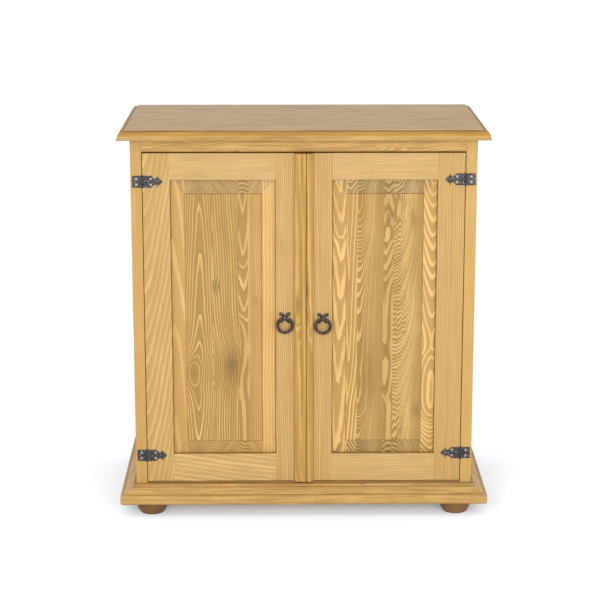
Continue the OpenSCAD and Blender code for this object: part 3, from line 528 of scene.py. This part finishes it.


# colour painted between two heights (painted shade in creases and gaps, painted highlights on edges): low,
# high, softness, share, which colour
# on the top's front: the ovolo darker, painted shade in the quirk under the flat, and a painted highlight along
# the flat's front arris
topPaintedLight = [(1022.6, 1033.8, 0.6, 0.7, "rim"), (1033.6, 1035.4, 0.3, 0.85, "shade"),
            (1035.5, 1036.7, 0.2, 0.9, "worn")]
# painted shade along the frieze's lower edge over the doors' top gap, and under the top's overhang
friezePaintedShade = [(974.0, 981.0, 1.2, 0.5, "shade"), (1006.0, 1014.0, 1.2, 0.2, "shade")]
# on the plinth moulding: a dark line at its joint with the base board, painted shade and stain; painted shade
# in the groove under its bead and on the ledge below the doors; a painted highlight low on the ogee
mouldPaintedLight = [(56.8, 59.9, 0.5, 0.6, "shade"), (71.8, 74.6, 0.7, 0.55, "shade"),
              (60.8, 66.0, 1.5, 0.45, "line"), (79.8, 84.0, 0.9, 0.55, "shade")]
# on the base board: painted shade along its rounded lower edge and a painted highlight near its top
basePaintedLight = [(28.0, 36.0, 2.5, 0.35, "shade"), (50.0, 57.0, 1.5, 0.15, "line")]
# painted shade on the cabinet floor's front edge, seen through the gap under the doors
floorPaintedShade = [(60.0, 84.2, 0.4, 0.8, "shade")]
sideBoards = [board(-300, pith=-190, roundness=14, rise=0.03, spacing=4.0, contrast=0.5),
              board(-112, pith=-60, roundness=30, rise=-0.02, spacing=3.6, tone=-0.02, contrast=0.5),
              board(8, pith=70, roundness=12, rise=0.04, spacing=4.4, tone=0.02, contrast=0.5),
              board(128, pith=200, roundness=24, rise=-0.03, spacing=3.8, contrast=0.5)]
backBoards = [board(-500, pith=-470, roundness=10, rise=0.03, spacing=5.0, ripple=1.0, contrast=0.6),
              board(-323, pith=-270, roundness=14, rise=-0.02, spacing=4.0, tone=-0.04, contrast=0.6),
              board(-215, pith=-160, roundness=9, rise=0.04, spacing=5.5, tone=0.02, contrast=0.6),
              board(-108, pith=-90, roundness=16, rise=-0.03, spacing=4.5, tone=-0.02, contrast=0.6),
              board(0, pith=60, roundness=10, rise=0.05, spacing=5.0, tone=0.03, contrast=0.6),
              board(108, pith=130, roundness=14, rise=0.02, spacing=4.2, tone=-0.03, contrast=0.6),
              board(215, pith=260, roundness=9, rise=-0.05, spacing=5.2, contrast=0.6),
              board(323, pith=400, roundness=12, rise=0.03, spacing=4.6, tone=-0.02, contrast=0.6)]
backNails = [(level, 26.9, 53.8, 2.2) for level in (72, 996)]
topBoards = [board(-300, pith=-330, roundness=14, rise=0.02, spacing=17.0, contrast=0.6),
             board(-150, pith=-40, roundness=20, rise=0.03, spacing=14.0, tone=-0.03, contrast=0.6),
             board(-20, pith=70, roundness=12, rise=-0.03, spacing=19.0, tone=0.02, contrast=0.6),
             board(120, pith=260, roundness=16, rise=0.02, spacing=15.0, tone=-0.01, contrast=0.6)]

woodPieces = {
    "top_board": dict(grain="x", through="z", face=1037, wax=topWax, boards=topBoards, bands=topPaintedLight,
                      sideShare=0.9),
    "left_side": dict(grain="z", through="x", face=-448, wax=edgeWax, boards=sideBoards, seed=4.0,
                      sideShare=0.3),
    "right_side": dict(grain="z", through="x", face=448, wax=edgeWax, boards=sideBoards, seed=9.0,
                       sideShare=0.7),
    "cabinet_floor": along("x", "z", 85, mouldWax, bands=floorPaintedShade),
    "frieze_rail": along("x", "y", frontY, mouldWax, pith=1055, spacing=5.2, rise=0.12, contrast=0.75,
                         tone=-0.035, duty=0.55, bands=friezePaintedShade,
                         knots=[(985, -165, 9, 40, 12, 0), (990, 250, 6, 60, 8, 0)]),
    "rear_top_rail": along("x", "y", 245.5, rawWood, pith=1060),
    "door_stop": along("x", "y", -192, rawWood, pith=1080),
    "back_boards": dict(grain="z", through="y", face=255.5, wax=rawWood, boards=backBoards, nails=backNails),
    "base_board": along("x", "y", boardFront, mouldWax, pith=90, spacing=3.4, contrast=0.45, tone=-0.01,
                        bands=basePaintedLight, knots=[(45, -120, 8, 30, 0, 0.2), (46, 60, 8, 26, 0, 0.14)]),
    "plinth_moulding_front": along("x", "y", -246.5, mouldWax, pith=120, spacing=3.0, contrast=0.5,
                                   bands=mouldPaintedLight,
                                   knots=[(68, -137, 8, 24, 0, 0.3), (79, 157, 2.5, 5, 1, 0.7),
                                          (67, -290, 6, 24, 0, 0.18)]),
    "plinth_moulding_left": along("y", "x", -480, mouldWax, pith=120, spacing=3.0, contrast=0.5,
                                  bands=mouldPaintedLight),
    "plinth_moulding_right": along("y", "x", 480, mouldWax, pith=120, spacing=3.0, contrast=0.5,
                                   bands=mouldPaintedLight),
    "front_left_foot": along("x", "y", -255, footWaxAndShade, pith=20, contrast=0.5),
    "front_right_foot": along("x", "y", -255, footWaxAndShade, pith=24, contrast=0.5, tone=0.19, seed=3.0),
    "rear_left_foot": along("x", "y", -255, footWaxAndShade, pith=20, contrast=0.5, seed=5.0),
    "rear_right_foot": along("x", "y", -255, footWaxAndShade, pith=24, contrast=0.5, seed=7.0),
    "upper_shelf": along("x", "z", 725, rawWood, pith=-40, roundness=10, rise=0.03),
    "lower_shelf": along("x", "z", 415, rawWood, pith=40, roundness=10, rise=-0.03),
    "upper_left_batten": along("y", "x", -419, rawWood, pith=740),
    "upper_right_batten": along("y", "x", 419, rawWood, pith=740),
    "lower_left_batten": along("y", "x", -419, rawWood, pith=430),
    "lower_right_batten": along("y", "x", 419, rawWood, pith=430),
    "glue_blocks": along("y", "z", 1011, rawWood, pith=-470),
    "left_hinge_stile": along("z", "y", frontY, doorWax, pith=-421, roundness=30, spacing=11.0, rise=-0.165,
                              ripple=1.0, contrast=0.56, duty=0.6, sway=6.0, seed=2.0, tone=0.02),
    "left_meeting_stile": along("z", "y", frontY, doorWax, pith=-180, roundness=20, spacing=5.2, contrast=0.85,
                                tone=-0.045, seed=6.0),
    "left_door_top_rail": along("x", "y", frontY, railWax, pith=860, roundness=20, rise=0.02, spacing=3.2,
                                contrast=0.6, tone=0.02),
    "left_door_bottom_rail": along("x", "y", frontY, railWax, pith=70, roundness=8, rise=0.14, spacing=13.0,
                                   contrast=0.85, tone=0.015, duty=0.6),
    "right_hinge_stile": along("z", "y", frontY, doorWax, pith=470, roundness=12, spacing=5.6, contrast=0.6,
                               tone=-0.02, sway=8.0, seed=8.0, knots=[(414.5, 873, 2, 2, 0, 0.8)]),
    "right_meeting_stile": along("z", "y", frontY, doorWax, pith=-10, roundness=20, rise=0.012, spacing=5.6,
                                 contrast=0.85, tone=-0.01, seed=10.0),
    "right_door_top_rail": along("x", "y", frontY, railWax, pith=1010, roundness=20, rise=0.02, spacing=3.6,
                                 contrast=0.65, tone=0.03),
    "right_door_bottom_rail": along("x", "y", frontY, railWax, pith=215, roundness=14, rise=0.03, spacing=4.2,
                                    contrast=0.85, tone=0.005),
    "left_door_panel": dict(grain="z", through="y", face=panelFace, wax=panelWax, seed=1.5,
                            bevelTints=leftTints, **leftPanel),
    "right_door_panel": dict(grain="z", through="y", face=panelFace, wax=panelWax, seed=4.5,
                             bevelTints=rightTints, **rightPanel),
    "left_meeting_bead": along("z", "y", -230, reedWax, pith=-34, roundness=6, rise=0.02, spacing=14.0,
                               contrast=0.6, tone=-0.03, ripple=1.2, seed=12.0, sideShare=0.5,
                               knots=[(-18, 535, 7, 16, 20, 0), (-8, 495, 6, 20, -18, 0),
                                      (-16, 577, 7, 20, 12, 0.6)]),
    "right_meeting_bead": along("z", "y", -230, reedWax, pith=30, roundness=6, rise=-0.02, spacing=12.0,
                                contrast=0.6, tone=-0.03, ripple=1.2, seed=14.0, sideShare=0.5,
                                knots=[(6, 612, 7, 26, 8, 0.8), (10, 545, 6, 22, 14, 0.3),
                                       (14, 500, 6, 16, -14, 0)]),
}
edgeWidths = {"top_board": 0.0006, "base_board": 0.0006, "back_boards": 0.0004}


def camel(node):
    first, *rest = node.split("_")
    return first + "".join(word.title() for word in rest)


for node, look in woodPieces.items():
    piece = softened(node, camel(node), edgeWidths.get(node, sanded["width"]),
                     sanded["panelSmooth"] if "panel" in node else welding["sharp"])
    dress(piece, bodyOf[node], pine(camel(node) + "Pine", **look), slotOf[node], node)
print("wood dressed:", len(woodPieces), "pieces")


ironLook = {"deep": paint(48, 45, 47), "worn": paint(136, 131, 124), "rough": 0.4}
# the staples' iron is lighter: partly rubbed bare by the ring, partly a painted highlight on the eye
rubbedHighlitLook = {"deep": paint(74, 70, 70), "worn": paint(206, 202, 196), "rough": 0.3}
ringLook = {"deep": paint(52, 42, 42), "worn": paint(120, 104, 98), "rough": 0.36}
# how dents, patches and grit share in the wear, the roughness and the relief of forged iron
forging = {"dents": 420.0, "dentBlend": 0.6, "grit": 1100.0, "patch": 190.0, "wearPatch": 0.4, "wearDents": 0.5,
           "wearGrit": 0.12, "wearFrom": 0.15, "wearTo": 0.75, "roughPatch": 0.08, "roughGrit": 0.04,
           "reliefDents": 0.7, "reliefGrit": 0.15, "bump": 0.0004, "metallic": 0.75}


def forged(name, look):
    material, wire = startMaterial(name)
    point = wire.node("TexCoord").output("Object")
    dents = wire.node("TexVoronoi", {"feature": "SMOOTH_F1"},
                      {"Vector": point, "Scale": forging["dents"], "Smoothness": forging["dentBlend"]})
    grit = noiseAt(wire, point, forging["grit"], 3.0)
    patch = noiseAt(wire, point, forging["patch"], 3.0, 0.6)
    wear = patch * forging["wearPatch"] + dents * forging["wearDents"] + grit * forging["wearGrit"]
    bare = ease(wire, wear, forging["wearFrom"], forging["wearTo"])
    colour = mixColour(wire, bare, look["deep"], look["worn"])
    finishMaterial(wire, colour, patch * forging["roughPatch"] + grit * forging["roughGrit"] + look["rough"],
                   dents * forging["reliefDents"] + grit * forging["reliefGrit"], forging["bump"],
                   metallic=forging["metallic"])
    return material


zincLook = {"bright": paint(158, 155, 150), "dull": paint(112, 108, 102), "grain": 700.0, "share": 0.4,
            "least": 0.3, "roughGrain": 0.08, "rough": 0.4, "bump": 0.00004, "metallic": 0.9}
plasticLook = {"bright": paint(92, 62, 40), "dull": paint(104, 74, 50), "grain": 1500.0, "share": 0.3,
               "least": 0.5, "roughGrain": 0.05, "rough": 0.5, "bump": 0.00003, "metallic": 0.0}


def speckled(name, look, detail, roughness):
    # two colours under one fine grain
    material, wire = startMaterial(name)
    grain = noiseAt(wire, wire.node("TexCoord").output("Object"), look["grain"], detail, roughness)
    colour = mixColour(wire, grain * look["share"] + look["least"], look["bright"], look["dull"])
    finishMaterial(wire, colour, grain * look["roughGrain"] + look["rough"], grain, look["bump"],
                   metallic=look["metallic"])
    return material


blackIron = forged("blackIron", ironLook)
rubbedIron = forged("rubbedIron", rubbedHighlitLook)
ringIron = forged("ringIron", ringLook)
zinc = speckled("zincPlate", zincLook, 3.0, 0.6)
catchPlastic = speckled("catchPlastic", plasticLook, 2.0, 0.5)
finishOf = {"black_iron": blackIron, "screw_steel": zinc, "catch_plastic": catchPlastic}


def hammerTexture(name, size):
    texture = bpy.data.textures.new(name, "VORONOI")
    texture.noise_scale = size
    return texture


leafForge = {"voxel": 0.00045, "dent": 0.0005, "size": 0.0032, "level": 0.8, "smooth": 70}
pullForge = {"voxel": 0.00036, "dent": 0.0006, "size": 0.0042, "level": 0.8, "smooth": 70}
leafHammer = hammerTexture("leafHammer", leafForge["size"])
pullHammer = hammerTexture("pullHammer", pullForge["size"])


def hammered(piece, forge, texture):
    # dents go mostly inwards, so the piece keeps its size
    modify(piece, "DISPLACE", texture=texture, strength=forge["dent"], mid_level=forge["level"],
           texture_coords="LOCAL")
    smooth(piece, forge["smooth"])


def boxOf(node):
    corners = [Vector(corner) for corner in nodes[node].bound_box]
    return (Vector([min(c[i] for c in corners) for i in range(3)]),
            Vector([max(c[i] for c in corners) for i in range(3)]))


frameLeaves = [f"{level}_{side}_frame_leaf" for level in ("upper", "lower") for side in ("left", "right")]
doorLeaves = [f"{side}_{level}_door_leaf" for side in ("left", "right") for level in ("upper", "lower")]
for node in frameLeaves + doorLeaves:
    leaf = mergedCopy(node, camel(node))
    modify(leaf, "REMESH", mode="VOXEL", voxel_size=leafForge["voxel"])
    hammered(leaf, leafForge, leafHammer)
    dress(leaf, bodyOf[node], blackIron, slotOf[node], node)
print("hinge leaves forged:", len(frameLeaves + doorLeaves))


# the head is domed by insets, each with its rise; the copies are turned by a first angle and a step
screwLook = {"radius": 0.0033, "rise": 0.0012, "sides": 36, "shank": 0.0015, "length": 0.0155,
             "shankSides": 16, "front": -0.9,
             "insets": ((0.0005, 0.00028), (0.0008, 0.0002), (0.0009, 0.00009)),
             "slot": (0.0009, 0.0011, 0.009), "firstTurn": 0.4, "turnStep": 1.3, "smooth": 40}


def screwModel():
    # a round head with a slot, facing forwards, its seat at y = 0
    bpy.ops.mesh.primitive_cylinder_add(
        vertices=screwLook["sides"], radius=screwLook["radius"], depth=screwLook["rise"] / 2,
        location=(0, -screwLook["rise"] / 4, 0), rotation=(math.pi / 2, 0, 0))
    head = bpy.context.object
    settle(head)
    bpy.ops.object.mode_set(mode="EDIT")
    bpy.ops.mesh.select_mode(type="FACE")
    bpy.ops.mesh.select_all(action="DESELECT")
    objectMode()
    for polygon in head.data.polygons:
        polygon.select = polygon.normal.y < screwLook["front"]
    bpy.ops.object.mode_set(mode="EDIT")
    for inset, rise in screwLook["insets"]:
        bpy.ops.mesh.inset(thickness=inset)
        bpy.ops.transform.translate(value=(0, -rise, 0))
    objectMode()
    bpy.ops.mesh.primitive_cube_add(size=1, location=(0, -screwLook["rise"], 0))
    cutter = bpy.context.object
    cutter.scale = screwLook["slot"]
    settle(cutter)
    modify(head, "BOOLEAN", operation="DIFFERENCE", object=cutter, solver="EXACT")
    bpy.data.objects.remove(cutter)
    bpy.ops.mesh.primitive_cylinder_add(
        vertices=screwLook["shankSides"], radius=screwLook["shank"], depth=screwLook["length"],
        location=(0, screwLook["length"] / 2, 0), rotation=(math.pi / 2, 0, 0))
    shank = bpy.context.object
    settle(shank)
    return joinAs([head, shank], "screwModel")


def screwRow(name, spots, body, node):
    heads = []
    for i, spot in enumerate(spots):
        copy = bpy.data.objects.new(name, screwPattern.data.copy())
        bpy.context.scene.collection.objects.link(copy)
        copy.location = spot
        copy.rotation_euler = (0, screwLook["firstTurn"] + screwLook["turnStep"] * i, 0)
        settle(copy)
        heads.append(copy)
    row = joinAs(heads, name)
    smooth(row, screwLook["smooth"])
    dress(row, body, zinc, slotOf[node], node)


screwPattern = screwModel()
screwAt = {"frame": 0.0145, "door": 0.0225, "up": 0.0075, "hinge": 0.418, "seat": -0.2165}


def leafSpots(node, reach):
    low, high = boxOf(node)
    middle = (low.z + high.z) / 2
    side = 1 if low.x > 0 else -1
    return [(side * (screwAt["hinge"] + reach), screwAt["seat"], middle + up * screwAt["up"]) for up in (-1, 1)]


frameSpots = [spot for node in frameLeaves for spot in leafSpots(node, screwAt["frame"])]
screwRow("frameLeafScrews", frameSpots, "cabinet", "frame_leaf_screws")
for side in ("left", "right"):
    spots = [spot for node in doorLeaves if node.startswith(side)
             for spot in leafSpots(node, -screwAt["door"])]
    screwRow(f"{side}DoorLeafScrews", spots, f"{side}_door", f"{side}_door_leaf_screws")
bpy.data.objects.remove(screwPattern)
print("hinge screws set")


pull = {"ring": 0.0192, "ringSegments": 120, "bar": 0.0042, "barSegments": 36, "plate": -0.2145,
        "eyeSmooth": 60}
# four lobes, the upper two drawn out like wings, a boss between them and two crossed arms
rosetteLook = {"lobe": 0.0062, "across": 0.0095, "up": 0.0085, "thick": 0.002, "depth": 0.98,
               "wingRadius": 0.98, "wing": 1.22, "wingInset": 0.004, "wingThin": 0.7, "turn": 0.5,
               "boss": 1.15, "arm": (2.0, 0.26, 0.5), "segments": 32, "rings": 20, "smooth": 50}


def middleOf(node):
    low, high = boxOf(node)
    return (low + high) / 2


def ringPiece(side, name):
    bpy.ops.mesh.primitive_torus_add(location=middleOf(f"{side}_ring"), rotation=(math.pi / 2, 0, 0),
                                     major_radius=pull["ring"], minor_radius=pull["bar"],
                                     major_segments=pull["ringSegments"], minor_segments=pull["barSegments"])
    ring = bpy.context.object
    ring.name = name
    settle(ring)
    hammered(ring, pullForge, pullHammer)
    return ring


def rosettePiece(side, name):
    # cut flat where it meets the door
    look = rosetteLook
    middle = middleOf(f"{side}_rosette")
    lobes = [(across, up, look["wingRadius"] if up > 0 else 1.0, look["wing"] if up > 0 else 1.0)
             for across in (-1, 1) for up in (-1, 1)]
    parts = []
    for across, up, radius, long in lobes + [(0, 0, look["boss"], 1.0)]:
        bpy.ops.mesh.primitive_uv_sphere_add(
            segments=look["segments"], ring_count=look["rings"], radius=look["lobe"] * radius,
            location=(middle.x + across * (look["across"] - (long - 1) * look["wingInset"]), pull["plate"],
                      middle.z + up * look["up"]))
        dome = bpy.context.object
        dome.scale = (long, look["thick"] / look["lobe"] * look["depth"], 1.0 - (long - 1) * look["wingThin"])
        dome.rotation_euler = (0, -across * up * look["turn"], 0)
        settle(dome)
        parts.append(dome)
    for turn in (-1, 1):
        bpy.ops.mesh.primitive_uv_sphere_add(segments=look["segments"], ring_count=look["rings"],
                                             radius=look["lobe"], location=(middle.x, pull["plate"], middle.z))
        arm = bpy.context.object
        arm.scale = look["arm"]
        arm.rotation_euler = (0, turn * math.atan2(look["up"], look["across"]), 0)
        settle(arm)
        parts.append(arm)
    rosette = joinAs(parts, name)
    modify(rosette, "REMESH", mode="VOXEL", voxel_size=pullForge["voxel"])
    editAll(rosette)
    bpy.ops.mesh.bisect(plane_co=(0, pull["plate"], 0), plane_no=(0, 1, 0), use_fill=True, clear_outer=True)
    objectMode()
    return rosette


for side in ("left", "right"):
    ring = ringPiece(side, f"{side}Ring")
    dress(ring, f"{side}_ring", ringIron, slotOf[f"{side}_ring"], f"{side}_ring")
    rosette = rosettePiece(side, f"{side}Rosette")
    smooth(rosette, rosetteLook["smooth"])
    dress(rosette, f"{side}_door", blackIron, slotOf[f"{side}_rosette"], f"{side}_rosette")
    staple = mergedCopy(f"{side}_staple", f"{side}Staple")
    modify(staple, "REMESH", mode="VOXEL", voxel_size=pullForge["voxel"])
    smooth(staple, pull["eyeSmooth"])
    dress(staple, f"{side}_door", rubbedIron, slotOf[f"{side}_staple"], f"{side}_staple")
print("ring pulls forged")

for node in nodes:
    if node not in dressed:
        nodes[node].data.materials.clear()
        nodes[node].data.materials.append(finishOf[slotOf[node]])
print("pins, catches and plates dressed")


studio = {"floorSize": 160.0, "floorGlow": 0.25, "glowColour": (0.82, 0.91, 1, 1), "floorRough": 0.9,
          "floorSpecular": 0.1, "floorDark": paint(226, 229, 234), "floorLight": paint(229, 232, 237),
          "cloud": 0.8, "cloudShare": 0.3, "cloudMiddle": 0.5, "sky": 1.05}

bpy.ops.mesh.primitive_plane_add(size=studio["floorSize"], location=(0, 0, 0))
floor = bpy.context.object
floor.name = "studioFloor"
floorMaterial, floorWire = startMaterial("studioFloor")
floorGrey = noiseAt(floorWire, floorWire.node("TexCoord").output("Object"), studio["cloud"])
floorTint = mixColour(floorWire, floorGrey * studio["cloudShare"] + studio["cloudMiddle"],
                      studio["floorDark"], studio["floorLight"])
floorShader = floorWire.node("BsdfPrincipled", None, {
    "Base Color": floorTint, "Roughness": studio["floorRough"], "Specular IOR Level": studio["floorSpecular"],
    "Emission Color": studio["glowColour"], "Emission Strength": studio["floorGlow"]})
floorWire.node("OutputMaterial", None, {"Surface": floorShader})
floor.data.materials.append(floorMaterial)

world = bpy.data.worlds.new("studioSky")
world.use_nodes = True
world.node_tree.nodes["Background"].inputs["Color"].default_value = (1, 1, 1, 1)
world.node_tree.nodes["Background"].inputs["Strength"].default_value = studio["sky"]
bpy.context.scene.world = world


softboxes = {
    "keyLight": {"place": (-1.7, -4.5, 2.2), "target": (0, 0, 0.6), "size": 1.6, "power": 78.0},
    "fillLight": {"place": (1.8, -4.4, 1.5), "target": (0, 0, 0.5), "size": 2.0, "power": 72.0},
}
for name, box in softboxes.items():
    bpy.ops.object.light_add(type="AREA", location=box["place"])
    lamp = bpy.context.object
    lamp.name = name
    lamp.data.shape = "DISK"
    lamp.data.size = box["size"]
    lamp.data.energy = box["power"]
    aim = Vector(box["target"]) - Vector(box["place"])
    lamp.rotation_euler = aim.to_track_quat("-Z", "Y").to_euler()

# the photo's camera: its focal length and width in the photo's pixels, on a 36 mm sensor
photoView = {"place": (-0.0589, -4.8675, 1.726), "tilt": 76.98, "turn": -0.6, "focal": 1828, "width": 600,
             "sensor": 36, "shift": -0.04, "near": 0.1, "far": 400}
bpy.ops.object.camera_add(location=photoView["place"],
                          rotation=(math.radians(photoView["tilt"]), 0, math.radians(photoView["turn"])))
camera = bpy.context.object
camera.name = "photoCamera"
camera.data.sensor_width = photoView["sensor"]
camera.data.lens = photoView["focal"] / photoView["width"] * photoView["sensor"]
camera.data.shift_y = photoView["shift"]
camera.data.clip_start = photoView["near"]
camera.data.clip_end = photoView["far"]
bpy.context.scene.camera = camera
bpy.context.scene.view_settings.view_transform = "Standard"
print("studio set")
